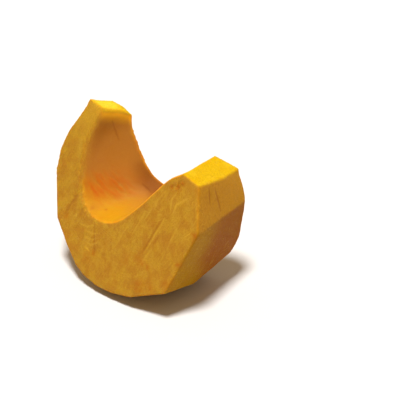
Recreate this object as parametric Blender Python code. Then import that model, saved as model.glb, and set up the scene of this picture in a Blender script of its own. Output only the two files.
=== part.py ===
"""Peeled pumpkin: one thick C-shaped wedge of raw flesh, standing on its rounded belly.

The wedge is made the way it was cut in the kitchen. A round pumpkin is turned about its own
axis (Y here), its rind is pared off in flat strokes, three straight knife cuts free the wedge,
and the seed hollow is scooped out of it. Only then is the wedge turned onto its belly, where
one more flat stroke is the spot that it stands on.
"""

import math

import bmesh
import bpy
from mathutils import Euler, Matrix, Vector

# The pumpkin before it is cut, in metres
PUMPKIN_RADIUS = 0.099
PUMPKIN_HALF_LENGTH = 0.132
PUMPKIN_SQUARENESS = 2.2
WIDEST_Y = -0.008
RINGS = 36
SIDES = 96

# Flat paring strokes: angle round the axis and distance from it at the front cut,
# and how far the stroke leans in towards the back
PARING_STROKES = {
    "left_tip": (161.6, 0.0923, 12.0),
    "left_upper": (172.0, 0.0916, 10.0),
    "left_middle": (188.0, 0.0905, 10.0),
    "left_lower": (205.3, 0.0877, 10.0),
    "belly_left": (231.5, 0.0886, 11.0),
    "belly_left_turn": (238.5, 0.0891, 8.0),
    "belly_left_low": (253.0, 0.0909, 3.0),
    "belly_middle_left": (268.5, 0.0901, 1.0),
    "belly_middle": (281.5, 0.0886, 0.0),
    "belly_right_low": (292.0, 0.0874, 1.0),
    "belly_right": (306.2, 0.0868, 3.5),
    "belly_right_back": (326.0, 0.1062, 22.0),
    "right_lower": (350.2, 0.0830, 8.5),
    "right_corner": (365.2, 0.0881, 12.8),
    "right_upper": (382.7, 0.0864, 8.8),
    "right_tip": (394.9, 0.0933, 13.1),
}

# Straight knife cuts: a point on the cut and the direction of the flesh that falls away
KNIFE_CUTS = {
    "front": ((0.0, 0.0, 0.0), (0.0, -1.0, 0.0)),
    "halving": ((-0.077, 0.0, 0.0633), (0.046, 0.0, 1.0)),
    "back": ((0.0, 0.0510, 0.0610), (-0.37, 1.0, 0.2)),
}

# The left end falls away a little towards the back: a point on that slanting cut, the direction
# of the chip that comes off, and how far the chip reaches from side to side
END_CHIP = ((-0.0492, 0.0143, 0.0620), (0.304, 0.213, 0.928))
END_CHIP_REACH = (-0.120, -0.030)

# Outline of the scooped hollow (x, z) at five depths behind the front cut
HOLLOW_OUTLINES = {
    -0.014: ((-0.053, 0.095), (-0.062, 0.050), (-0.065, 0.014), (-0.055, -0.024), (-0.030, -0.038),
             (-0.003, -0.028), (0.018, 0.002), (0.038, 0.040), (0.057, 0.063), (0.052, 0.095)),
    0.000: ((-0.052, 0.095), (-0.0605, 0.050), (-0.063, 0.014), (-0.0525, -0.021), (-0.030, -0.034),
            (-0.004, -0.024), (0.016, 0.005), (0.036, 0.043), (0.054, 0.065), (0.050, 0.095)),
    0.026: ((-0.048, 0.095), (-0.053, 0.057), (-0.050, 0.032), (-0.040, 0.003), (-0.025, -0.015),
            (-0.004, -0.012), (0.014, 0.006), (0.031, 0.039), (0.0425, 0.061), (0.042, 0.095)),
    0.052: ((-0.039, 0.095), (-0.0425, 0.058), (-0.036, 0.040), (-0.025, 0.018), (-0.014, 0.007),
            (-0.002, 0.003), (0.009, 0.011), (0.021, 0.032), (0.034, 0.059), (0.033, 0.095)),
    0.080: ((-0.028, 0.095), (-0.030, 0.062), (-0.026, 0.045), (-0.018, 0.031), (-0.008, 0.023),
            (0.002, 0.023), (0.011, 0.029), (0.019, 0.043), (0.026, 0.062), (0.026, 0.095)),
}
OUTLINE_STEPS = 7
DEPTH_STEPS = 6

# How the cut wedge is turned to stand on its belly, and the depth of the stroke it stands on
STANDING_TURN = (-16.6, 9.8, -48.2)
BELLY_DEPTH = 0.094

CRISP_ANGLE = math.radians(7.5)

FLESH_COLOUR = (0.60, 0.26, 0.03, 1.0)
FLESH_ROUGHNESS = 0.55


def clear_scene():
    for thing in list(bpy.data.objects):
        bpy.data.objects.remove(thing, do_unlink=True)


def add_object(name, mesh):
    thing = bpy.data.objects.new(name, mesh)
    bpy.context.scene.collection.objects.link(thing)
    return thing


def catmull_rom(a, b, c, d, t):
    """Point on the smooth curve from b to c, for t from 0 to 1."""
    bend = 2 * a - 5 * b + 4 * c - d
    twist = 3 * b - a - 3 * c + d
    return 0.5 * (2 * b + (c - a) * t + bend * t * t + twist * t * t * t)


def pumpkin_mesh():
    """Closed round body turned about Y, a little squarer than an ellipsoid."""
    mesh = bmesh.new()
    rings = []
    for i in range(1, RINGS):
        along = -math.cos(math.pi * i / RINGS)
        radius = PUMPKIN_RADIUS * (1.0 - abs(along) ** PUMPKIN_SQUARENESS) ** (1.0 / PUMPKIN_SQUARENESS)
        y = WIDEST_Y + PUMPKIN_HALF_LENGTH * along
        ring = []
        for k in range(SIDES):
            angle = 2.0 * math.pi * k / SIDES
            ring.append(mesh.verts.new((radius * math.cos(angle), y, radius * math.sin(angle))))
        rings.append(ring)
    join_rings(mesh, rings)
    return mesh


def join_rings(mesh, rings):
    """Skins a row of rings and closes both ends."""
    for low, high in zip(rings, rings[1:]):
        count = len(low)
        for k in range(count):
            after = (k + 1) % count
            mesh.faces.new((low[k], high[k], high[after], low[after]))
    mesh.faces.new(rings[0])
    mesh.faces.new(list(reversed(rings[-1])))
    bmesh.ops.recalc_face_normals(mesh, faces=mesh.faces)


def slice_off(mesh, point, direction):
    """Takes away everything beyond a plane and closes the cut with one flat face."""
    everything = mesh.verts[:] + mesh.edges[:] + mesh.faces[:]
    cut = bmesh.ops.bisect_plane(mesh, geom=everything, dist=0.00002, plane_co=point,
                                 plane_no=direction, clear_outer=True)
    rim = [item for item in cut["geom_cut"] if isinstance(item, bmesh.types.BMEdge)]
    bmesh.ops.holes_fill(mesh, edges=rim)


def pare(mesh):
    for angle, distance, lean in PARING_STROKES.values():
        angle = math.radians(angle)
        lean = math.radians(lean)
        around = Vector((math.cos(angle), 0.0, math.sin(angle)))
        direction = around * math.cos(lean) + Vector((0.0, math.sin(lean), 0.0))
        slice_off(mesh, around * distance, direction)


def hollow_mesh():
    """Closed cutter in the shape of the seed hollow, lofted through its outlines."""
    depths = sorted(HOLLOW_OUTLINES)
    outlines = [[Vector((x, y, z)) for x, z in HOLLOW_OUTLINES[y]] for y in depths]
    curves = []
    for points in outlines:
        curve = []
        count = len(points)
        for k in range(count):
            a, b, c, d = (points[(k + shift) % count] for shift in (-1, 0, 1, 2))
            for step in range(OUTLINE_STEPS):
                curve.append(catmull_rom(a, b, c, d, step / OUTLINE_STEPS))
        curves.append(curve)
    mesh = bmesh.new()
    rings = []
    last = len(curves) - 1
    for k in range(last):
        neighbours = [curves[max(0, min(last, k + shift))] for shift in (-1, 0, 1, 2)]
        for step in range(DEPTH_STEPS):
            t = step / DEPTH_STEPS
            rings.append([mesh.verts.new(catmull_rom(*four, t)) for four in zip(*neighbours)])
    rings.append([mesh.verts.new(point) for point in curves[last]])
    join_rings(mesh, rings)
    return mesh


def chip_mesh():
    """Closed cutter that takes the chip off the back of the left end."""
    point, direction = (Vector(item) for item in END_CHIP)
    mesh = bmesh.new()
    bmesh.ops.create_cube(mesh, size=2.0)
    for vert in mesh.verts:
        x = END_CHIP_REACH[0] if vert.co.x < 0 else END_CHIP_REACH[1]
        y = math.copysign(PUMPKIN_RADIUS, vert.co.y)
        fall = direction.x * (x - point.x) + direction.y * (y - point.y)
        z = point.z - fall / direction.z if vert.co.z < 0 else PUMPKIN_RADIUS
        vert.co = (x, y, z)
    return mesh


def take_out(wedge, shape, name):
    """Cuts a closed shape out of the wedge."""
    data = bpy.data.meshes.new(name)
    shape.to_mesh(data)
    shape.free()
    cutter = add_object(name, data)
    cutter.hide_render = True
    cutter.display_type = "WIRE"
    cutting = wedge.modifiers.new(name, "BOOLEAN")
    cutting.operation = "DIFFERENCE"
    cutting.object = cutter
    cutting.solver = "EXACT"
    bpy.context.view_layer.objects.active = wedge
    bpy.ops.object.modifier_apply(modifier=cutting.name)
    bpy.data.objects.remove(cutter, do_unlink=True)


def scoop(wedge):
    """Takes the seed hollow and the chip at the left end out of the wedge."""
    take_out(wedge, hollow_mesh(), "seed_hollow")
    take_out(wedge, chip_mesh(), "end_chip")


def stand(wedge):
    """Turns the wedge onto its belly, cuts the flat it stands on and puts that flat on the ground."""
    turn = Euler([math.radians(angle) for angle in STANDING_TURN], "XYZ").to_matrix().to_4x4()
    mesh = bmesh.new()
    mesh.from_mesh(wedge.data)
    bmesh.ops.transform(mesh, matrix=turn, verts=mesh.verts)
    slice_off(mesh, Vector((0.0, 0.0, -BELLY_DEPTH)), Vector((0.0, 0.0, -1.0)))
    middle = [0.5 * (min(v.co[axis] for v in mesh.verts) + max(v.co[axis] for v in mesh.verts))
              for axis in (0, 1)]
    move = Matrix.Translation((-middle[0], -middle[1], BELLY_DEPTH))
    bmesh.ops.transform(mesh, matrix=move, verts=mesh.verts)
    bmesh.ops.recalc_face_normals(mesh, faces=mesh.faces)
    shade(mesh)
    mesh.to_mesh(wedge.data)
    mesh.free()


def shade(mesh):
    """Smooth over the rounded flesh, crisp where two cuts meet."""
    for face in mesh.faces:
        face.smooth = True
    for edge in mesh.edges:
        edge.smooth = edge.calc_face_angle(math.pi) < CRISP_ANGLE


def flesh_material():
    material = bpy.data.materials.new("pumpkin_flesh")
    material.use_nodes = True
    shader = material.node_tree.nodes["Principled BSDF"]
    shader.inputs["Base Color"].default_value = FLESH_COLOUR
    shader.inputs["Roughness"].default_value = FLESH_ROUGHNESS
    return material


def build():
    clear_scene()
    body = pumpkin_mesh()
    pare(body)
    for point, direction in KNIFE_CUTS.values():
        slice_off(body, Vector(point), Vector(direction).normalized())
    data = bpy.data.meshes.new("pumpkin_wedge")
    body.to_mesh(data)
    body.free()
    wedge = add_object("pumpkin_wedge", data)
    scoop(wedge)
    stand(wedge)
    data.materials.append(flesh_material())


build()
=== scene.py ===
import math
from collections import namedtuple

import bpy
import numpy as np
from bpy.props import FloatProperty, FloatVectorProperty, IntProperty, PointerProperty
from mathutils import Euler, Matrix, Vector, noise


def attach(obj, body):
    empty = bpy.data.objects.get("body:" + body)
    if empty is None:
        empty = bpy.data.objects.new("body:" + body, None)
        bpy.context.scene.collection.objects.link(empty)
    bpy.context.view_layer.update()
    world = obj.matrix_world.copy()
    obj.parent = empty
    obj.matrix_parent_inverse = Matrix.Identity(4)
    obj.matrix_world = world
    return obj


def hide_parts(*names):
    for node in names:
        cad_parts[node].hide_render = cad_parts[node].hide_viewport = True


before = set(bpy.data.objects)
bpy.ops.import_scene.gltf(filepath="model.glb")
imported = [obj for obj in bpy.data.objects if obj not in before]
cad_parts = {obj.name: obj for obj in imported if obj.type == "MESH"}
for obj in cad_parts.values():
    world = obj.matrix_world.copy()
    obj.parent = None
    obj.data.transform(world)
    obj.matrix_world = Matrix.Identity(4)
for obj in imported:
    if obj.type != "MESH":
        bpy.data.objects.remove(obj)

bl_info = {
    "name": "Peeled pumpkin wedge",
    "version": (1, 0, 0),
    "blender": (4, 5, 0),
    "location": "View3D > Sidebar > Pumpkin",
    "description": "Gives the pumpkin wedge its raw flesh and knife marks, and sets its stage",
    "category": "Object",
}

# How the wedge's own axes stand in the world: X across the arms, Y into the wedge from the
# front cut, Z out of the hollow. The same turn is used where the solid is cut.
STANDING_TURN = (-16.6, 9.8, -48.2)
OWN_ORIGIN = Vector((-0.02269, -0.01078, 0.094))
TURN = Euler([math.radians(angle) for angle in STANDING_TURN], "XYZ").to_matrix()

# How far from a cut the flesh still counts as cut by it: at most cuts, at the front cut, whose edges
# are worn, and at the halving cut where wear has to leave it flat
CUT_REACH = 0.0022
FRONT_REACH = 0.004
HALVING_REACH = 0.003

# Knife cuts in the wedge's own axes: a point on the cut and its outward direction
FRONT_CUT = (Vector((0.0, 0.0, 0.0)), Vector((0.0, -1.0, 0.0)))
HALVING_CUT = (Vector((-0.077, 0.0, 0.0633)), Vector((0.046, 0.0, 1.0)).normalized())
END_CHIP = (Vector((-0.0492, 0.0143, 0.0620)), Vector((0.304, 0.213, 0.928)).normalized())
BACK_CUT = (Vector((0.0, 0.051, 0.061)), Vector((-0.37, 1.0, 0.2)).normalized())

# The line that the hollow runs round passes through here, along Y
HOLLOW_MIDDLE = Vector((-0.004, 0.0, 0.062))

# The sharp tip of the left arm, and the edges that are worn soft
END_TIP = (-0.0769, 0.0, 0.0633)
TIP_REACH = 0.007
END_LIP = ((-0.0620, 0.0015, 0.0626), (-0.0590, 0.014, 0.0622), (-0.0555, 0.026, 0.0600))
RIGHT_END_EDGE = ((0.0485, 0.0, 0.0578), (0.0700, 0.0, 0.0567), (0.0645, 0.030, 0.0570),
                  (0.0595, 0.060, 0.0572))
FRONT_EDGE = ((0.061, 0.0, 0.080), (0.0699, 0.0, 0.0565), (0.085, 0.0, 0.0145), (0.079, 0.0, -0.0196),
              (0.060, 0.0, -0.052), (0.020, 0.0, -0.082), (0.0, 0.0, -0.088))

# Marks in the wedge's own axes: the points of each line, its half width and its strength
KNIFE_DRAGS = (
    (((0.0453, 0.0, 0.0108), (0.041, 0.0, -0.0109), (0.0367, 0.0, -0.0327)), 0.0013, 1.0),
    (((0.0492, 0.0, -0.004), (0.0445, 0.0, -0.022)), 0.0008, 0.6),
    (((-0.027, 0.0, -0.034), (-0.020, 0.0, -0.050), (-0.0127, 0.0, -0.066)), 0.0009, 0.8),
    (((-0.054, 0.0, -0.021), (-0.0614, 0.0, -0.0487)), 0.0013, 0.8),
    (((-0.0425, 0.0, -0.0286), (-0.0438, 0.0, -0.0437)), 0.0011, 0.6),
    (((0.0686, 0.0164, 0.0532), (0.0749, 0.0196, 0.037)), 0.0010, 1.4),
    (((0.0677, 0.0255, 0.0517), (0.0755, 0.0386, 0.0279)), 0.0010, 1.4),
)
PALE_SCRATCHES = (
    (((0.0475, 0.0, 0.0108), (0.0432, 0.0, -0.0109), (0.0389, 0.0, -0.0327)), 0.0010, 0.45),
    (((0.0505, 0.0, 0.0396), (0.0473, 0.0, 0.0291), (0.0509, 0.0, 0.0175)), 0.0009, 0.6),
    (((0.064, 0.0, 0.0406), (0.0546, 0.0, 0.0283), (0.0532, 0.0, 0.0163)), 0.0009, 0.6),
    (((0.0388, 0.0, 0.0345), (0.0339, 0.0, 0.0213), (0.0331, 0.0, 0.0088)), 0.0009, 0.4),
    (((-0.0408, 0.0, -0.0476), (-0.0314, 0.0, -0.0453), (-0.0247, 0.0, -0.0398)), 0.0008, 0.5),
    (((-0.0329, 0.0, -0.0497), (-0.0233, 0.0, -0.0479), (-0.0154, 0.0, -0.0425)), 0.0008, 0.5),
    (((-0.0337, 0.0, -0.0556), (-0.0218, 0.0, -0.0538), (-0.0146, 0.0, -0.0468)), 0.0008, 0.4),
    (((-0.0287, 0.0, -0.0589), (-0.0208, 0.0, -0.0586), (-0.0138, 0.0, -0.0511)), 0.0008, 0.5),
    (((0.0338, 0.0, 0.0264), (0.0265, 0.0, -0.0056)), 0.0009, 0.35),
    (((0.0255, 0.0, 0.006), (0.0192, 0.0, -0.0239)), 0.0009, 0.35),
    (((0.0463, 0.0, -0.0199), (0.0383, 0.0, -0.0459)), 0.0009, 0.35),
    (((0.0643, 0.0, 0.0168), (0.0613, 0.0, -0.0143)), 0.0009, 0.35),
    (((0.0124, 0.0, -0.0139), (0.006, 0.0, -0.0442)), 0.0009, 0.3),
    (((-0.0270, 0.0, -0.0638), (-0.0196, 0.0, -0.0647)), 0.0008, 1.0),
    (((-0.049, 0.0, -0.0425), (-0.0475, 0.0, -0.043)), 0.0010, 0.8),
)
WALL_CRACKS = (
    (((-0.0566, 0.0154, 0.0507), (-0.054, 0.0218, 0.0401), (-0.0495, 0.0267, 0.0318)), 0.0008, 0.7),
    (((-0.0216, 0.0422, 0.0019), (-0.0156, 0.0441, -0.0001), (-0.0089, 0.045, -0.0015)), 0.0010, 1.3),
)
TORN_EDGES = (
    (((0.041, 0.0, 0.039), (0.0484, 0.0, 0.0425), (0.0527, 0.0, 0.051)), 0.0042, 1.0),
    (((-0.060, 0.0015, 0.0), (-0.0523, 0.0, -0.0207), (-0.0393, 0.0, -0.0321),
      (-0.020, 0.0, -0.036)), 0.0024, 0.8),
)

# Reddish blots: middle, radius and strength
STAINS = (
    ((0.0335, 0.0, -0.0395), 0.0040, 0.8), ((0.041, 0.0, -0.040), 0.0034, 1.0),
    ((0.0475, 0.0, -0.041), 0.0036, 1.0),
    ((-0.0212, 0.0, -0.0678), 0.0042, 1.0), ((-0.015, 0.0, -0.064), 0.0030, 0.8),
    ((0.0477, 0.0, -0.0614), 0.0065, 1.0), ((0.0587, 0.0, -0.0564), 0.0045, 0.7),
    ((-0.0512, 0.0, -0.0661), 0.0050, 0.8), ((-0.043, 0.0, -0.0738), 0.0060, 0.7),
    ((0.074, 0.0, -0.041), 0.0050, 0.6),
    ((-0.053, 0.004, -0.012), 0.0036, 0.5), ((-0.046, 0.004, -0.021), 0.0040, 0.6),
    ((-0.036, 0.004, -0.028), 0.0040, 0.6), ((-0.022, 0.004, -0.033), 0.0036, 0.5),
    ((0.0484, 0.0, 0.0425), 0.0034, 0.9), ((0.0540, 0.0, 0.0500), 0.0028, 0.8),
    ((0.0430, 0.0, 0.0400), 0.0022, 0.8),
    ((0.020, 0.0, -0.045), 0.0060, 0.5), ((-0.058, 0.0, -0.050), 0.0050, 0.5),
    ((0.0842, 0.0, 0.013), 0.0038, 1.3), ((0.0785, 0.0, -0.0202), 0.0032, 1.3),
    ((-0.0269, 0.012, -0.026), 0.0012, 1.0), ((0.036, 0.0, 0.0), 0.0060, 0.35),
    ((0.020, 0.040, -0.070), 0.0080, 0.6), ((0.060, 0.060, -0.020), 0.0070, 0.6),
    ((-0.060, 0.020, -0.045), 0.0070, 0.5), ((0.070, 0.030, -0.040), 0.0060, 0.5),
)

# Where the strings show in the hollow: middle and radius
STRINGY_SPOTS = (((-0.045, 0.013, -0.013), 0.014), ((-0.034, 0.026, -0.008), 0.014))

# Metres of flesh for each radian round the hollow: for the strings, and for the arcs on the cut
STRING_RADIUS = 0.06
ARC_RADIUS = 0.09

# Smooth noise in the flesh: its size in metres and its seed
LONG_WAVES = (0.036, 3.1)
RIPPLES = (0.010, 11.7)
FINE_GRAIN = (0.0034, 40.3)
TORN_BITS = ((0.0016, 0.0016, 0.0030), 70.1)
COARSE_STRINGS = ((0.013, 0.0021, 1.0), 5.3)
FINE_STRINGS = ((0.006, 0.0012, 1.0), 8.9)

# How far the knife marks wander off their lines, and the heights of the small relief
MARK_WANDER = 0.0006
RIPPLE_HEIGHT = 0.00018
GRAIN_HEIGHT = 0.00005
TORN_HEIGHT = 0.0009

# The flat spot under the belly: points within FLAT_REACH of the floor stay on it, softening comes in
# by FLAT_SOFT, and the relief grows to its full height by FLAT_FADE
FLAT_REACH = 0.0005
FLAT_SOFT = 0.002
FLAT_FADE = 0.005

# Masks from 0 to 1 that the relief leaves on the mesh and the flesh is coloured by; several of them place
# painted light, painted shade, a painted glow, painted highlights and a painted sheen
MASKS = ("end", "hollow", "pared", "rim", "inner_rim", "strings", "stain", "dark", "pale", "near_end",
         "depth", "low_depth", "glow", "hollow_floor", "upper_paring", "end_middle")

# Fine looks of the flesh: the coordinates that each noise follows, its waves per metre, where its mask
# starts and ends, and its detail
FLESH_NOISE = {
    "blotches": ("own", (95.0, 80.0, 70.0), 0.38, 0.62, 5.0),
    "mottle": ("own", (330.0, 300.0, 280.0), 0.38, 0.66, 3.0),
    "grain": ("own", (1000.0, 1000.0, 800.0), 0.36, 0.66, 2.0),
    "patches": ("own", (42.0, 42.0, 42.0), 0.50, 0.62, 1.0),
    "arcs": ("ring", (850.0, 45.0, 300.0), 0.56, 0.72, 2.0),
    "drags": ("slant", (700.0, 300.0, 45.0), 0.54, 0.72, 3.0),
    "fibres": ("slant", (750.0, 400.0, 60.0), 0.56, 0.72, 3.0),
    "speckle": ("own", (2100.0, 2100.0, 2100.0), 0.45, 0.75, 2.0),
}
SLANT = math.radians(-14.0)

# How much calmer the fine layers and bumps are in the hollow
HOLLOW_CALM = 0.8

# Fine layers of colour: the noise, its strength, its colour and how it is laid on
FINE_LAYERS = (
    ("mottle", 0.22, "shade", "MULTIPLY"),
    ("grain", 0.46, "shade", "MULTIPLY"),
    ("drags", 0.32, "shade", "MULTIPLY"),
    ("arcs", 0.34, "fibre", "MIX"),
    ("fibres", 0.20, "fibre", "MIX"),
)

# Painted highlights on the edges, then marks, laid on last: the mask, its strength and its colour
MARK_LAYERS = (
    ("rim", 0.08, "rim"),
    ("inner_rim", 0.80, "rim"),
    ("stain", 0.85, "stain"),
    ("dark", 0.90, "bruise"),
    ("pale", 0.70, "fibre"),
)

# Fine bumps: what is added to the fibres or taken off them, and how much of it
FIBRE_BUMPS = 0.5
BUMP_LAYERS = (("ADD", "grain", 0.6), ("SUBTRACT", "drags", 0.5), ("ADD", "speckle", 0.20))
BUMP_STRENGTH = 0.6
BUMP_HEIGHT = 0.0005

# The moist finish: roughness of the flesh, and how much smoother its wet speckles are
FLESH_ROUGHNESS = 0.58
SPECKLE_SHINE = 0.18

# The stage: where the key light comes from, how wide it is, the tint of the sky, and what the camera
# aims at, through which lens
KEY_FROM = Vector((-0.08, -0.32, 1.0))
KEY_WIDTH = math.radians(11.0)
SKY_TINT = (1.0, 0.73, 0.47, 1.0)
AIM = OWN_ORIGIN + Vector((0.06705, 0.0, 0.0))
LENS_LENGTH = 200.0
FLOOR_SIZE = 12.0
FLOOR_ROUGHNESS = 0.9


class WedgeShape(bpy.types.PropertyGroup):
    """Softness and relief of the wedge"""
    grain: FloatProperty(name="Mesh grain", description="Size of the even mesh that carries the relief",
                         default=0.00105, min=0.0008, max=0.004, unit="LENGTH")
    edge_rounds: IntProperty(name="Edge softness", description="Rounds of smoothing over all knife edges",
                             default=4, min=0, max=20)
    belly_rounds: IntProperty(name="Belly softness", description="Extra rounds away from the cut ends",
                              default=10, min=0, max=60)
    rim_rounds: IntProperty(name="Rim softness", description="Extra rounds over the left arm's worn rim",
                            default=100, min=0, max=300)
    fullness: FloatProperty(name="Edge fullness", description="How far the left arm's back edge swells",
                            default=0.0042, min=0.0, max=0.006, unit="LENGTH")
    waviness: FloatProperty(name="Waviness", description="Height of the long waves on pared flesh",
                            default=0.00045, min=0.0, max=0.003, unit="LENGTH")
    string_height: FloatProperty(name="String height", description="Height of the strings in the hollow",
                                 default=0.0006, min=0.0, max=0.003, unit="LENGTH")
    mark_depth: FloatProperty(name="Mark depth", description="Depth of the marks left by the knife",
                              default=0.00035, min=0.0, max=0.001, unit="LENGTH")


def colour_choice(name, description, default):
    """A colour to choose in the panel."""
    return FloatVectorProperty(name=name, description=description, default=default, size=3,
                               min=0.0, max=1.0, subtype="COLOR")


class WedgeColours(bpy.types.PropertyGroup):
    """Colours of the flesh, with painted light, shade, glow, highlights and sheen among them"""
    cut: colour_choice("Cut flesh", "Knife-cut flesh across the pumpkin", (0.436, 0.240, 0.0180))
    cut_warm: colour_choice("Warm cut flesh", "Warmer clouds in the cut flesh", (0.388, 0.182, 0.0145))
    # Painted light: the cut flesh is made brighter towards the top of the arms, most on the left arm
    cut_painted_light: colour_choice("Bright cut flesh", "Cut flesh near the top of the arms",
                              (0.500, 0.284, 0.0200))
    end: colour_choice("End flesh", "Bright flesh of the halving cut", (0.610, 0.372, 0.001))
    # Painted sheen: the pale middle of the left end, also used for pale clouds and flecks on both ends
    end_painted_sheen: colour_choice("Pale end flesh", "Paler clouds in the bright flesh", (0.780, 0.560, 0.030))
    # Painted light: the lit copy of the pared flesh, laid where it faces up
    pared: colour_choice("Pared flesh", "Outside flesh near the cut ends", (0.445, 0.210, 0.0098))
    # Painted shade: the shaded copy of the pared flesh, where it faces down
    pared_painted_shade: colour_choice("Low pared flesh", "Outside flesh towards the belly",
                             (0.375, 0.180, 0.0016))
    # Painted shade: the pared belly darkens deeper in, towards the back cut
    pared_back_painted_shade: colour_choice("Back pared flesh", "Outside flesh of the belly near the back cut",
                              (0.285, 0.086, 0.001))
    # The hollow's own more orange flesh, darkened as painted shade on its walls
    hollow: colour_choice("Hollow flesh", "Flesh on the wall of the seed hollow", (0.378, 0.149, 0.0190))
    # Painted light: brighter flesh at the bottom of the hollow, where light falls
    hollow_floor: colour_choice("Hollow floor", "Bright flesh at the bottom of the hollow",
                                (0.470, 0.222, 0.006))
    # Painted shade: darker flesh low and deep in the hollow
    hollow_deep_painted_shade: colour_choice("Deep hollow flesh", "Flesh low and deep in the seed hollow",
                               (0.240, 0.076, 0.008))
    strings: colour_choice("Strings", "Deep orange strings in the hollow", (0.430, 0.100, 0.005))
    # Painted glow: light shining through the thin flesh near the hollow's edges
    glow: colour_choice("Glow", "Bright flesh just inside the hollow's edges", (0.740, 0.370, 0.010))
    # Painted highlight: bright flesh along the edges, where light shines through
    rim: colour_choice("Rim", "Thin bright flesh along the edges", (0.780, 0.330, 0.006))
    shade: colour_choice("Grain", "Fine darker grain of the flesh", (0.66, 0.60, 0.50))
    bruise: colour_choice("Knife marks", "Dark lines left by the knife, and cracks",
                          (0.230, 0.070, 0.006))
    fibre: colour_choice("Fibres", "Fine pale fibres and scratches", (0.600, 0.385, 0.032))
    stain: colour_choice("Stains", "Reddish blots and torn spots", (0.345, 0.110, 0.006))


class StageSettings(bpy.types.PropertyGroup):
    """Floor, light and camera"""
    floor: colour_choice("Floor", "Colour of the floor", (0.62, 0.62, 0.62))
    key: FloatProperty(name="Key light", description="Strength of the light above",
                       default=4.7, min=0.0, max=20.0)
    sky: FloatProperty(name="Sky", description="Strength of the even light all round",
                       default=0.50, min=0.0, max=5.0)
    distance: FloatProperty(name="Camera distance", description="From the camera to the wedge",
                            default=2.0, min=0.5, max=10.0, unit="LENGTH")
    height: FloatProperty(name="Camera height", description="Angle of the camera above the floor",
                          default=math.radians(30.0), min=0.0, max=1.5, subtype="ANGLE")


def select_only(thing):
    """Makes one object the only one that is picked, and the active one."""
    bpy.ops.object.select_all(action="DESELECT")
    thing.select_set(True)
    bpy.context.view_layer.objects.active = thing


def apply_modifier(thing, kind, name, **settings):
    """Adds a modifier with its settings and applies it at once."""
    modifier = thing.modifiers.new(name, kind)
    for key, value in settings.items():
        setattr(modifier, key, value)
    select_only(thing)
    bpy.ops.object.modifier_apply(modifier=modifier.name)


def merged_copy(node, name):
    """A copy of a solid with its loose triangles joined up."""
    copy = bpy.data.objects.new(name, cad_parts[node].data.copy())
    bpy.context.scene.collection.objects.link(copy)
    copy.data.materials.clear()
    select_only(copy)
    bpy.ops.object.mode_set(mode="EDIT")
    bpy.ops.mesh.select_all(action="SELECT")
    bpy.ops.mesh.remove_doubles(threshold=0.00001)
    bpy.ops.object.mode_set(mode="OBJECT")
    return copy


def read_mesh(mesh):
    """Points, normals and links of a mesh, as arrays."""
    count = len(mesh.vertices)
    points = np.empty(count * 3)
    mesh.vertices.foreach_get("co", points)
    normals = np.empty(count * 3)
    mesh.vertices.foreach_get("normal", normals)
    links = np.empty(len(mesh.edges) * 2, dtype=np.int64)
    mesh.edges.foreach_get("vertices", links)
    return points.reshape(-1, 3), normals.reshape(-1, 3), links.reshape(-1, 2)


Skin = namedtuple("Skin", "points normals links own facing")


def read_skin(piece):
    """A piece's points, normals and links, and its points and normals in the wedge's own axes."""
    points, normals, links = read_mesh(piece.data)
    return Skin(points, normals, links, *own_axes(points, normals))


def move_points(piece, points):
    """Puts the piece's points in their new places."""
    piece.data.vertices.foreach_set("co", points.ravel())
    piece.data.update()


def spread(values, links, rounds):
    """Blurs a value, or a row of values, over its neighbours."""
    count = len(values)
    near, far = links[:, 0], links[:, 1]
    degree = np.maximum(np.bincount(links.ravel(), minlength=count), 1)
    flat = values.reshape(count, -1).copy()
    for _ in range(rounds):
        for column in range(flat.shape[1]):
            line = flat[:, column]
            total = np.bincount(near, weights=line[far], minlength=count)
            total += np.bincount(far, weights=line[near], minlength=count)
            flat[:, column] = 0.5 * line + 0.5 * total / degree
    return flat.reshape(values.shape)


def bulge(skin, rounds):
    """How far the points stand out from what is round them: above 0 on edges, below 0 in dents."""
    return ((skin.points - spread(skin.points, skin.links, rounds)) * skin.normals).sum(axis=1)


def ramp(values, low, high):
    """A smooth rise from 0 at low to 1 at high."""
    t = np.clip((values - low) / (high - low), 0.0, 1.0)
    return t * t * (3.0 - 2.0 * t)


def own_axes(points, normals):
    """The same points and directions in the wedge's own axes."""
    turn = np.array(TURN)
    return (points - np.array(OWN_ORIGIN)) @ turn, normals @ turn


def on_cut(cut, points, normals, reach=CUT_REACH):
    """1 on the face that a knife cut leaves, and 0 away from it."""
    place, direction = (np.array(item) for item in cut)
    near = 1.0 - ramp(np.abs((points - place) @ direction), 0.5 * reach, reach)
    return near * ramp(normals @ direction, 0.45, 0.85)


def sort_flesh(points, normals):
    """Which face of the wedge each point is on: front, end, back, hollow or pared."""
    end = np.maximum(on_cut(HALVING_CUT, points, normals), on_cut(END_CHIP, points, normals))
    faces = {"end": end * (points[:, 2] > 0.045)}
    left = 1.0 - faces["end"]
    faces["front"] = left * on_cut(FRONT_CUT, points, normals, FRONT_REACH)
    left -= faces["front"]
    faces["back"] = left * on_cut(BACK_CUT, points, normals)
    left -= faces["back"]
    away = points - np.array(HOLLOW_MIDDLE)
    away[:, 1] = 0.0
    inward = ramp(-(normals * away).sum(axis=1), -0.002, 0.002)
    faces["hollow"] = left * inward
    faces["pared"] = left * (1.0 - inward)
    return faces


def noise_at(points, scale, seed):
    """Smooth noise from -1 to 1 at every point; scale is a size in metres, or one for each axis."""
    placed = points / np.array(scale) + seed
    return np.array([noise.noise(Vector(place)) for place in placed])


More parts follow.
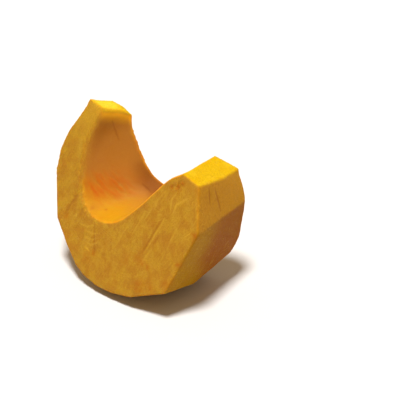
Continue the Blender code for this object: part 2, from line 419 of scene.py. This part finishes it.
def beside(points, path, width):
    """1 on a line through the path's points and 0 away from it, thinning out at both ends."""
    lines = [np.array(point) for point in path]
    total = sum(np.linalg.norm(b - a) for a, b in zip(lines, lines[1:]))
    best = np.zeros(len(points))
    gone = 0.0
    for a, b in zip(lines, lines[1:]):
        length = np.linalg.norm(b - a)
        t = np.clip(((points - a) @ (b - a)) / length ** 2, 0.0, 1.0)
        apart = np.linalg.norm(points - a - t[:, None] * (b - a), axis=1)
        along = (gone + t * length) / total
        thin = 0.25 + 0.75 * np.sqrt(np.clip(4.0 * along * (1.0 - along), 0.0, 1.0))
        best = np.maximum(best, np.exp(-(apart / (width * thin)) ** 2) * thin)
        gone += length
    return best


def drawn(points, lines):
    """All the lines of one kind together."""
    total = np.zeros(len(points))
    for path, width, strength in lines:
        total = np.maximum(total, strength * beside(points, path, width))
    return total


def store(mesh, name, values):
    """Leaves a mask on the mesh, one value for each point."""
    layer = mesh.attributes.new(name, "FLOAT", "POINT")
    layer.data.foreach_set("value", np.asarray(values, dtype=np.float32))


def soften(piece, name, weights, rounds):
    """Smooths the piece where the weights say so."""
    group = piece.vertex_groups.new(name=name)
    for index in np.nonzero(weights > 0.02)[0]:
        group.add([int(index)], float(weights[index]), "REPLACE")
    apply_modifier(piece, "SMOOTH", name, factor=0.5, iterations=rounds, vertex_group=name)
    piece.vertex_groups.clear()


def wear_rim(piece, weights, rounds, keep_end=True):
    """Wears a rim down where the weights say so, and keeps the halving cut flat if asked to."""
    points, _, links, own, facing = read_skin(piece)
    flat = keep_end * on_cut(HALVING_CUT, own, facing, HALVING_REACH)[:, None]
    upright = np.array(TURN) @ np.array(HALVING_CUT[1])
    moving = weights > 0.01
    for _ in range(rounds):
        move = (spread(points, links, 1) - points) * weights[:, None]
        move -= flat * (move @ upright)[:, None] * upright
        points[moving] += move[moving]
    move_points(piece, points)


def keep_tip(piece):
    """Pulls the flesh back out to the sharp tip of the left arm, where smoothing has eaten it."""
    points = read_skin(piece).points
    turn = np.array(TURN)
    tip = turn @ np.array(END_TIP) + np.array(OWN_ORIGIN)
    away = np.linalg.norm(points - tip, axis=1)
    nearest = int(np.argmin(away))
    pull = np.clip(1.0 - (away - away[nearest]) / TIP_REACH, 0.0, 1.0)[:, None]
    points += pull * (tip - points[nearest])
    for place, direction in (FRONT_CUT, HALVING_CUT):
        outward = turn @ np.array(direction)
        above = np.maximum((points - turn @ np.array(place) - np.array(OWN_ORIGIN)) @ outward, 0.0)
        points -= above[:, None] * outward
    move_points(piece, points)


# The ramps and limits from here on are places on the wedge, in metres along its own axes.


def soften_belly(piece, shape):
    """Softens every knife edge, the belly's more than the cut ends', and wears the front edge."""
    own = read_skin(piece).own
    from_tip = np.linalg.norm(own - np.array(END_TIP), axis=1)
    soften(piece, "knife_edges", 0.15 + 0.85 * ramp(from_tip, 0.002, 0.010), shape.edge_rounds)
    skin = read_skin(piece)
    belly = (1.0 - ramp(skin.own[:, 2], 0.040, 0.056)) * ramp(skin.points[:, 2], FLAT_REACH, FLAT_SOFT)
    soften(piece, "belly_edges", belly, shape.belly_rounds)
    wear_rim(piece, 0.9 * beside(skin.own, FRONT_EDGE, 0.0045), 3 * shape.belly_rounds)


def swell_back_edge(piece, shape):
    """Rounds the edge between the hollow and the back, and fills it out on the left arm."""
    skin = read_skin(piece)
    sharp = ramp(np.abs(bulge(skin, 6)), 0.0001, 0.0003)
    edge = ramp(spread(sharp * (skin.own[:, 1] > 0.016), skin.links, 12), 0.08, 0.35)
    edge *= 1.0 - ramp(skin.own[:, 2], 0.050, 0.057)
    edge *= ramp(skin.points[:, 2], FLAT_REACH, FLAT_SOFT)
    soften(piece, "hollow_back_edge", edge, 6 * shape.belly_rounds)
    points, normals, links = read_mesh(piece.data)
    fuller = edge * ramp(skin.own[:, 2], 0.008, 0.030) * (skin.own[:, 0] < -0.020)
    outward = spread(normals, links, 14)
    outward /= np.maximum(np.linalg.norm(outward, axis=1), 0.05)[:, None]
    points += (shape.fullness * spread(fuller, links, 8))[:, None] * outward
    move_points(piece, points)
    soften(piece, "hollow_back_edge_again", edge, 6 * shape.belly_rounds)


def wear_ends(piece, shape):
    """Wears the left arm's inner rim, the lip under its end and the edge of the right end."""
    skin = read_skin(piece)
    across, inwards, level = skin.own.T
    rim = (np.abs(inwards) < 0.010) & (across > -0.072) & (across < -0.040) & (level > -0.025)
    weights = spread(rim.astype(float), skin.links, 6) * (0.30 + 0.70 * ramp(level, -0.02, 0.04))
    outer = ramp(across + 0.12 * level, -0.068, -0.060)
    wear_rim(piece, weights * outer, shape.rim_rounds)
    own = read_skin(piece).own
    wear_rim(piece, 0.9 * beside(own, END_LIP, 0.0050), shape.rim_rounds // 2, keep_end=False)
    wear_rim(piece, 0.8 * beside(own, RIGHT_END_EDGE, 0.0028), shape.belly_rounds, keep_end=False)


def round_edges(piece, shape):
    """Soft edges: little at the cut ends, more on the belly, most on the left arm's worn rim."""
    soften_belly(piece, shape)
    swell_back_edge(piece, shape)
    wear_ends(piece, shape)
    keep_tip(piece)


def blend_faces(skin, ripples):
    """The share of each face at every point: crisp at knife edges, blended on the worn left rim."""
    across, inwards, level = skin.own.T
    worn = (np.abs(inwards) < 0.014) & (across < -0.040) & (level > -0.010) & (level < 0.060)
    worn = spread(worn.astype(float), skin.links, 6)
    faces = {}
    for name, mask in sort_flesh(skin.own, skin.facing).items():
        crisp = spread(mask, skin.links, 4)
        faces[name] = crisp + worn * (spread(crisp, skin.links, 40) - crisp)
    lip = 0.9 * ramp(level + 0.0010 * ripples, 0.0570, 0.0608)
    lip *= faces["hollow"] * (across < 0.0)
    faces["end"] = np.maximum(faces["end"], lip)
    faces["hollow"] *= 1.0 - lip
    return faces


def hollow_strings(own):
    """Strings that run slanting round the hollow, above 0 on a string, and where they show."""
    across, inwards, level = own.T
    around = np.arctan2(level - HOLLOW_MIDDLE.z, across - HOLLOW_MIDDLE.x) * STRING_RADIUS
    ring = np.stack([around + 0.6 * inwards, inwards - 0.6 * around, np.zeros(len(own))], axis=1)
    strings = noise_at(ring, *COARSE_STRINGS) + 0.6 * noise_at(ring, *FINE_STRINGS)
    shown = np.zeros(len(own))
    for middle, radius in STRINGY_SPOTS:
        apart = np.linalg.norm(own - np.array(middle), axis=1)
        shown = np.maximum(shown, np.exp(-(apart / radius) ** 2))
    return strings, shown


def reddish_blots(own, ripples, fine):
    """The stains, with ragged outlines and mottled inside."""
    ragged = np.stack([fine, ripples, fine], axis=1)
    stain = np.zeros(len(own))
    for place, size, strength in STAINS:
        apart = np.linalg.norm(own + 0.35 * size * ragged - np.array(place), axis=1)
        stain = np.maximum(stain, strength * np.exp(-(apart / size) ** 2))
    return stain * (0.45 + 0.55 * ramp(fine + 0.6 * ripples, -0.25, 0.35))


def bright_inner_rim(skin, faces, edges, ripples, fine):
    """A painted highlight: the bright, ragged rim where the front cut meets the hollow."""
    across, inwards, level = skin.own.T
    on_edge = ramp(edges, 0.0001, 0.0005) * ramp(spread(faces["hollow"], skin.links, 8), 0.08, 0.35)
    ragged = 0.08 + 0.22 * (1.0 - ramp(across, -0.030, -0.005))
    near = spread(faces["hollow"], skin.links, 20) + ragged * (fine + 0.6 * ripples)
    band = faces["front"] * ramp(near, 0.20, 0.42)
    rim = np.maximum(on_edge, 0.8 * band)
    rim *= 0.60 + 0.40 * ramp(across + 0.3 * inwards, -0.040, -0.015)
    return rim * (1.0 - ramp(level - 1.2 * across, 0.050, 0.066))


def colour_masks(skin, faces, ripples, fine):
    """Where the larger colours of the flesh lie, by their names in MASKS, painted light and shade among
    them.
    """
    across, inwards, level = skin.own.T
    links = skin.links
    left_arm = across < 0.0
    edges = bulge(skin, 10)
    masks = {name: faces[name] for name in ("end", "hollow", "pared")}
    # Painted highlights along the outward edges
    masks["rim"] = ramp(edges, 0.00015, 0.0007)
    masks["inner_rim"] = bright_inner_rim(skin, faces, edges, ripples, fine)
    # Painted light: brighter cut flesh towards the top of the arms, most on the left arm
    masks["near_end"] = ramp(level, 0.005, 0.058) * (0.25 + 0.75 * left_arm)
    # Painted light on pared flesh that faces up; painted shade on pared flesh deeper in, towards the back
    # and low down
    masks["upper_paring"] = ramp(spread(skin.facing[:, 2], links, 3), 0.0, 0.36)
    lower = 0.8 * np.minimum(level + 0.020, 0.0)
    masks["depth"] = ramp(inwards + lower + 0.003 * ripples, 0.014, 0.052)

    # Painted light on the hollow's floor
    masks["hollow_floor"] = ramp(-level + 0.002 * ripples, -0.001, 0.027)
    # Painted shade low and deep in the hollow
    wavy = level + 0.003 * ripples
    masks["low_depth"] = (ramp(inwards, 0.032, 0.048) * ramp(wavy, -0.010, 0.002)
                          * (1.0 - ramp(wavy, 0.010, 0.026)))
    # Painted glow where the left arm's flesh is thin near its outside, and along its top
    near_outside = spread(faces["back"] + faces["pared"], links, 16)
    glow = 2.4 * near_outside * ramp(level, -0.010, 0.010) * left_arm
    glow += 1.2 * ramp(level + 0.0015 * ripples, 0.046, 0.060) * left_arm
    masks["glow"] = np.clip(glow, 0.0, 1.0) * faces["hollow"] * (1.0 - faces["end"])

    # Painted sheen in the middle of the left end, with pale clouds over both ends
    middle = ramp(spread(faces["end"], links, 18), 0.50, 0.95) * (1.0 - ramp(across, -0.02, 0.0))
    middle *= 1.0 - 0.8 * spread(on_cut(END_CHIP, skin.own, skin.facing), links, 12)
    masks["end_middle"] = middle + 0.25 * faces["end"] * ramp(ripples, 0.0, 0.5)
    return masks


def raise_relief(piece, shape):
    """Waves, strings, torn flesh and knife marks as real relief, and the masks for the colours."""
    skin = read_skin(piece)
    own = skin.own
    waves, ripples, fine = (noise_at(own, *kind) for kind in (LONG_WAVES, RIPPLES, FINE_GRAIN))
    faces = blend_faces(skin, ripples)
    masks = colour_masks(skin, faces, ripples, fine)

    wander = own + MARK_WANDER * np.stack([ripples, np.zeros(len(own)), fine], axis=1)
    dark = np.maximum(0.6 * drawn(wander, KNIFE_DRAGS), drawn(wander, WALL_CRACKS))
    pale = drawn(wander, PALE_SCRATCHES)
    torn = drawn(wander, TORN_EDGES) * (faces["front"] + 0.7 * faces["hollow"])
    stain = reddish_blots(own, ripples, fine) + 0.55 * torn * ramp(fine + ripples, -0.3, 0.5)
    strings, shown = hollow_strings(own)
    masks["dark"] = dark
    masks["pale"] = pale
    masks["stain"] = np.clip(stain, 0.0, 1.0)
    masks["strings"] = np.clip(0.60 + 0.7 * strings, 0.0, 1.0) * shown * faces["hollow"]

    wavy = np.clip(faces["pared"] + faces["hollow"] + faces["back"] + 0.3, 0.0, 1.0)
    height = shape.waviness * waves * wavy
    height += RIPPLE_HEIGHT * ripples * (0.35 + 0.65 * faces["pared"])
    height += GRAIN_HEIGHT * fine
    height += shape.string_height * strings * (faces["hollow"] * np.clip(0.03 + 1.1 * shown, 0.0, 1.0))
    height += TORN_HEIGHT * torn * (noise_at(own, *TORN_BITS) * 2.0 - 0.5)
    height -= shape.mark_depth * dark
    height -= 0.5 * shape.mark_depth * pale
    points = skin.points + skin.normals * (height * ramp(skin.points[:, 2], 0.0, FLAT_FADE))[:, None]
    points[:, 2] = np.where(points[:, 2] < FLAT_REACH, 0.0, points[:, 2])
    move_points(piece, points)
    for name in MASKS:
        store(piece.data, name, masks[name])


def new_group(name, inputs, outputs):
    """An empty shader node group with named sockets."""
    group = bpy.data.node_groups.new(name, "ShaderNodeTree")
    for label, kind, value in inputs:
        socket = group.interface.new_socket(name=label, in_out="INPUT", socket_type=kind)
        if value is not None:
            socket.default_value = value
    for label, kind in outputs:
        group.interface.new_socket(name=label, in_out="OUTPUT", socket_type=kind)
    return group, group.nodes.new("NodeGroupInput"), group.nodes.new("NodeGroupOutput")


def put(tree, kind, x, y, **settings):
    """A new node of a tree, at its place and with its settings."""
    node = tree.nodes.new(kind)
    node.location = (x, y)
    for key, value in settings.items():
        setattr(node, key, value)
    return node


def math_node(tree, operation, first, second, x, y):
    """A sum on one or two values, each a socket or a fixed number."""
    node = put(tree, "ShaderNodeMath", x, y, operation=operation)
    for socket, value in zip(node.inputs, (first, second)):
        if isinstance(value, (int, float)):
            socket.default_value = value
        elif value is not None:
            tree.links.new(value, socket)
    return node.outputs[0]


def scaled(tree, value, amount, x, y):
    """A value times a fixed amount."""
    return math_node(tree, "MULTIPLY", value, amount, x, y)


def mix_colour(tree, factor, first, second, x, y, blend="MIX"):
    """The second colour laid over the first one, as far as the factor says."""
    node = put(tree, "ShaderNodeMix", x, y, data_type="RGBA", blend_type=blend)
    for socket, value in ((node.inputs[0], factor), (node.inputs[6], first), (node.inputs[7], second)):
        if isinstance(value, tuple):
            socket.default_value = value
        else:
            tree.links.new(value, socket)
    return node.outputs[2]


def stretched_noise_group():
    """Noise pulled out along the pumpkin's own axes, as a mask from 0 to 1."""
    group, start, end = new_group(
        "stretched_flesh_noise",
        [("Vector", "NodeSocketVector", None), ("Size", "NodeSocketVector", (100.0, 100.0, 100.0)),
         ("Detail", "NodeSocketFloat", 3.0), ("Low", "NodeSocketFloat", 0.35),
         ("High", "NodeSocketFloat", 0.65)],
        [("Mask", "NodeSocketFloat")])
    stretched = put(group, "ShaderNodeVectorMath", -400, 0, operation="MULTIPLY")
    cloud = put(group, "ShaderNodeTexNoise", -200, 0)
    limits = put(group, "ShaderNodeMapRange", 0, 0, interpolation_type="SMOOTHSTEP")
    cloud.inputs["Scale"].default_value = 1.0
    cloud.inputs["Roughness"].default_value = 0.6
    links = group.links
    links.new(start.outputs["Vector"], stretched.inputs[0])
    links.new(start.outputs["Size"], stretched.inputs[1])
    links.new(stretched.outputs[0], cloud.inputs["Vector"])
    links.new(start.outputs["Detail"], cloud.inputs["Detail"])
    links.new(cloud.outputs["Fac"], limits.inputs["Value"])
    links.new(start.outputs["Low"], limits.inputs["From Min"])
    links.new(start.outputs["High"], limits.inputs["From Max"])
    links.new(limits.outputs["Result"], end.inputs["Mask"])
    return group


def ring_group():
    """Coordinates that follow the flesh: out from the hollow's middle, round it and inwards."""
    group, start, end = new_group("round_the_hollow", [("Vector", "NodeSocketVector", None)],
                                  [("Ring", "NodeSocketVector")])
    centred = put(group, "ShaderNodeVectorMath", -600, 0, operation="SUBTRACT")
    centred.inputs[1].default_value = HOLLOW_MIDDLE
    parts = put(group, "ShaderNodeSeparateXYZ", -400, 0)
    ring = put(group, "ShaderNodeCombineXYZ", 200, 0)
    group.links.new(start.outputs["Vector"], centred.inputs[0])
    group.links.new(centred.outputs[0], parts.inputs[0])
    across, along, up = (parts.outputs[k] for k in range(3))
    square = math_node(group, "ADD", math_node(group, "MULTIPLY", across, across, -200, 200),
                       math_node(group, "MULTIPLY", up, up, -200, 0), 0, 100)
    group.links.new(math_node(group, "SQRT", square, None, 100, 100), ring.inputs[0])
    angle = math_node(group, "ARCTAN2", up, across, -200, -200)
    group.links.new(scaled(group, angle, ARC_RADIUS, 0, -200), ring.inputs[1])
    group.links.new(along, ring.inputs[2])
    group.links.new(ring.outputs[0], end.inputs["Ring"])
    return group


def own_axes_node(tree):
    """Object coordinates turned into the wedge's own axes."""
    place = put(tree, "ShaderNodeTexCoord", -1800, 0)
    centred = put(tree, "ShaderNodeVectorMath", -1600, 0, operation="SUBTRACT")
    centred.inputs[1].default_value = OWN_ORIGIN
    turned = put(tree, "ShaderNodeVectorRotate", -1400, 0, rotation_type="EULER_XYZ", invert=True)
    turned.inputs["Rotation"].default_value = [math.radians(angle) for angle in STANDING_TURN]
    tree.links.new(place.outputs["Object"], centred.inputs[0])
    tree.links.new(centred.outputs[0], turned.inputs["Vector"])
    return turned.outputs[0]


def mask_node(tree, name, y):
    """The mask that the relief left on the mesh under this name."""
    node = put(tree, "ShaderNodeAttribute", -1400, y, attribute_type="GEOMETRY", attribute_name=name)
    return node.outputs["Fac"]


def streaks(tree, group, place, size, low, high, detail, y):
    """Stretched noise on the given coordinates, as a mask."""
    node = put(tree, "ShaderNodeGroup", -1000, y, node_tree=group)
    tree.links.new(place, node.inputs["Vector"])
    node.inputs["Size"].default_value = size
    node.inputs["Detail"].default_value = detail
    node.inputs["Low"].default_value = low
    node.inputs["High"].default_value = high
    return node.outputs["Mask"]


def rgba(colour):
    """A colour as a node wants it."""
    return (colour[0], colour[1], colour[2], 1.0)


def flesh_noises(tree):
    """All the noises of FLESH_NOISE as masks; the arcs show in patches only."""
    place = own_axes_node(tree)
    ring = put(tree, "ShaderNodeGroup", -1200, 400, node_tree=ring_group())
    tree.links.new(place, ring.inputs["Vector"])
    slant = put(tree, "ShaderNodeMapping", -1200, 700)
    slant.inputs["Rotation"].default_value = (0.0, SLANT, 0.0)
    tree.links.new(place, slant.inputs["Vector"])
    followed = {"own": place, "ring": ring.outputs[0], "slant": slant.outputs[0]}
    group = stretched_noise_group()
    noises = {}
    for k, (name, (axes, size, low, high, detail)) in enumerate(FLESH_NOISE.items()):
        noises[name] = streaks(tree, group, followed[axes], size, low, high, detail, 900 - 180 * k)
    noises["arcs"] = math_node(tree, "MULTIPLY", noises["arcs"], noises["patches"], -800, 200)
    return noises


def layered(tree, colours, base, layers, y):
    """One colour with others laid over it; each layer is a mask and the name of its colour."""
    colour = rgba(getattr(colours, base))
    for k, (mask, name) in enumerate(layers):
        colour = mix_colour(tree, mask, colour, rgba(getattr(colours, name)), -500 + 150 * k, y)
    return colour


def flesh_relief(tree, noises, calm):
    """Fine bumps: fibres, grain and speckles stand out, and drags lie low."""
    relief = scaled(tree, noises["fibres"], FIBRE_BUMPS, 0, -300)
    for k, (operation, name, amount) in enumerate(BUMP_LAYERS):
        layer = scaled(tree, noises[name], amount, 150 * k, -500)
        relief = math_node(tree, operation, relief, layer, 150 + 150 * k, -300)
    relief = math_node(tree, "MULTIPLY", relief, calm, 600, -300)
    bump = put(tree, "ShaderNodeBump", 750, -300)
    bump.inputs["Strength"].default_value = BUMP_STRENGTH
    bump.inputs["Distance"].default_value = BUMP_HEIGHT
    tree.links.new(relief, bump.inputs["Height"])
    return bump.outputs["Normal"]


def flesh_material(colours):
    """Raw, moist pumpkin flesh: a colour for each kind of face, with painted light and shade in them,
    then grain and fibres, then painted highlights on the edges and the marks.
    """
    material = bpy.data.materials.new("raw_pumpkin_flesh")
    material.use_nodes = True
    tree = material.node_tree
    shader = tree.nodes["Principled BSDF"]
    noises = flesh_noises(tree)
    masks = {name: mask_node(tree, name, -200 - 160 * k) for k, name in enumerate(MASKS)}
    calm = math_node(tree, "MULTIPLY_ADD", masks["hollow"], -HOLLOW_CALM, -900, -700)
    calm.node.inputs[2].default_value = 1.0

    # Cut flesh with warmer clouds, and painted light brightening it towards the top of the arms
    cut = layered(tree, colours, "cut", (
        (noises["blotches"], "cut_warm"),
        (scaled(tree, masks["near_end"], 0.9, -700, 900), "cut_painted_light")), 900)
    # Pared flesh with painted shade, darker facing down and towards the back, and painted light where it
    # faces up
    pared = layered(tree, colours, "pared_painted_shade", (
        (masks["depth"], "pared_back_painted_shade"),
        (masks["upper_paring"], "pared")), 700)
    # The hollow's flesh with painted shade on its walls, painted light on its floor, painted shade deep
    # down, the strings, and a painted glow near its edges
    hollow = layered(tree, colours, "hollow", (
        (masks["hollow_floor"], "hollow_floor"),
        (masks["low_depth"], "hollow_deep_painted_shade"),
        (masks["strings"], "strings"),
        (scaled(tree, masks["glow"], 0.85, -700, 500), "glow")), 500)
    # The ends, with a painted sheen in the left end's middle, pale clouds, and pale flecks that are
    # partly wet grain and partly painted glints
    end = layered(tree, colours, "end", (
        (scaled(tree, masks["end_middle"], 0.9, -700, 300), "end_painted_sheen"),
        (scaled(tree, noises["speckle"], 0.20, -700, 100), "end_painted_sheen")), 300)
    colour = mix_colour(tree, masks["pared"], cut, pared, 150, 700)
    colour = mix_colour(tree, masks["hollow"], colour, hollow, 300, 700)
    colour = mix_colour(tree, masks["end"], colour, end, 450, 700)
    for k, (name, strength, tint, blend) in enumerate(FINE_LAYERS):
        x = 600 + 150 * k
        factor = scaled(tree, noises[name], strength, x - 150, 450)
        factor = math_node(tree, "MULTIPLY", factor, calm, x, 450)
        colour = mix_colour(tree, factor, colour, rgba(getattr(colours, tint)), x, 700, blend)
    for k, (name, strength, tint) in enumerate(MARK_LAYERS):
        x = 1350 + 150 * k
        factor = scaled(tree, masks[name], strength, x, 450)
        colour = mix_colour(tree, factor, colour, rgba(getattr(colours, tint)), x, 700)
    tree.links.new(colour, shader.inputs["Base Color"])

    rough = math_node(tree, "MULTIPLY_ADD", noises["speckle"], -SPECKLE_SHINE, 1350, 200)
    rough.node.inputs[2].default_value = FLESH_ROUGHNESS
    tree.links.new(rough, shader.inputs["Roughness"])
    tree.links.new(flesh_relief(tree, noises, calm), shader.inputs["Normal"])
    shader.location = (2100, 400)
    tree.nodes["Material Output"].location = (2450, 400)
    shader.inputs["Subsurface Weight"].default_value = 0.6
    shader.inputs["Subsurface Radius"].default_value = (1.0, 0.40, 0.06)
    shader.inputs["Subsurface Scale"].default_value = 0.006
    shader.inputs["Specular IOR Level"].default_value = 0.04
    return material


class PUMPKIN_OT_flesh(bpy.types.Operator):
    """Carve the wedge's flesh finely and give it its raw, moist finish"""
    bl_idname = "pumpkin.flesh"
    bl_label = "Carve the flesh"
    bl_options = {"REGISTER", "UNDO"}

    def execute(self, context):
        shape = context.scene.pumpkin_shape
        piece = merged_copy("pumpkin_wedge", "pumpkin_flesh")
        apply_modifier(piece, "REMESH", "even grain",
                       mode="VOXEL", voxel_size=shape.grain, adaptivity=0.0)
        solid = merged_copy("pumpkin_wedge", "solid_wedge")
        apply_modifier(piece, "SHRINKWRAP", "crisp edges",
                       target=solid, wrap_method="NEAREST_SURFACEPOINT")
        bpy.data.objects.remove(solid, do_unlink=True)
        round_edges(piece, shape)
        raise_relief(piece, shape)
        select_only(piece)
        bpy.ops.object.shade_smooth()
        piece.data.materials.append(flesh_material(context.scene.pumpkin_colours))
        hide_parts("pumpkin_wedge")
        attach(piece, "root")
        return {"FINISHED"}


def plain_material(name, colour, roughness):
    """A plain surface of one colour, with the faintest clouds in it."""
    material = bpy.data.materials.new(name)
    material.use_nodes = True
    tree = material.node_tree
    shader = tree.nodes["Principled BSDF"]
    place = put(tree, "ShaderNodeTexCoord", -600, 0)
    cloud = put(tree, "ShaderNodeTexNoise", -400, 0)
    cloud.inputs["Scale"].default_value = 3.0
    tree.links.new(place.outputs["Object"], cloud.inputs["Vector"])
    shade = rgba([channel * 0.99 for channel in colour])
    tree.links.new(mix_colour(tree, cloud.outputs["Fac"], rgba(colour), shade, -200, 0),
                   shader.inputs["Base Color"])
    shader.inputs["Roughness"].default_value = roughness
    return material


class PUMPKIN_OT_stage(bpy.types.Operator):
    """Lay the pale floor and set the studio light and the camera"""
    bl_idname = "pumpkin.stage"
    bl_label = "Set the stage"
    bl_options = {"REGISTER", "UNDO"}

    def execute(self, context):
        stage = context.scene.pumpkin_stage
        bpy.ops.object.select_all(action="DESELECT")
        bpy.ops.mesh.primitive_plane_add(size=FLOOR_SIZE, location=(0.0, 0.0, 0.0))
        floor = context.active_object
        floor.name = "floor"
        floor.data.materials.append(plain_material("pale_floor", stage.floor, FLOOR_ROUGHNESS))

        sun = bpy.data.lights.new("key_light", "SUN")
        sun.energy = stage.key
        sun.angle = KEY_WIDTH
        lamp = bpy.data.objects.new("key_light", sun)
        context.scene.collection.objects.link(lamp)
        lamp.rotation_euler = KEY_FROM.to_track_quat("Z", "Y").to_euler()

        world = bpy.data.worlds.new("studio_sky")
        world.use_nodes = True
        light = world.node_tree.nodes["Background"]
        light.inputs["Color"].default_value = SKY_TINT
        light.inputs["Strength"].default_value = stage.sky
        context.scene.world = world

        towards = Vector((0.0, -math.cos(stage.height), math.sin(stage.height)))
        eye = OWN_ORIGIN + towards * stage.distance
        lens = bpy.data.cameras.new("camera")
        lens.sensor_width = 36.0
        lens.lens = LENS_LENGTH
        lens.clip_end = 50.0
        camera = bpy.data.objects.new("camera", lens)
        context.scene.collection.objects.link(camera)
        camera.location = eye
        camera.rotation_euler = (eye - AIM).to_track_quat("Z", "Y").to_euler()
        context.scene.camera = camera
        context.scene.view_settings.view_transform = "Standard"
        return {"FINISHED"}


class PUMPKIN_PT_panel(bpy.types.Panel):
    """Sizes, colours and steps of the pumpkin wedge"""
    bl_idname = "PUMPKIN_PT_panel"
    bl_label = "Pumpkin wedge"
    bl_space_type = "VIEW_3D"
    bl_region_type = "UI"
    bl_category = "Pumpkin"

    def draw(self, context):
        for settings in (context.scene.pumpkin_shape, context.scene.pumpkin_colours,
                         context.scene.pumpkin_stage):
            box = self.layout.box()
            for key in settings.__annotations__:
                box.prop(settings, key)
        self.layout.operator("pumpkin.flesh")
        self.layout.operator("pumpkin.stage")


CLASSES = (WedgeShape, WedgeColours, StageSettings,
           PUMPKIN_OT_flesh, PUMPKIN_OT_stage, PUMPKIN_PT_panel)


def register():
    """Adds the panel, the steps and their settings."""
    for item in CLASSES:
        bpy.utils.register_class(item)
    bpy.types.Scene.pumpkin_shape = PointerProperty(type=WedgeShape)
    bpy.types.Scene.pumpkin_colours = PointerProperty(type=WedgeColours)
    bpy.types.Scene.pumpkin_stage = PointerProperty(type=StageSettings)


def unregister():
    """Takes the panel, the steps and their settings away again."""
    del bpy.types.Scene.pumpkin_shape
    del bpy.types.Scene.pumpkin_colours
    del bpy.types.Scene.pumpkin_stage
    for item in reversed(CLASSES):
        bpy.utils.unregister_class(item)


def main():
    """Carves the flesh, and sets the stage."""
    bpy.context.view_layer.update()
    register()
    bpy.ops.pumpkin.flesh()
    bpy.ops.pumpkin.stage()


if __name__ == "__main__":
    main()
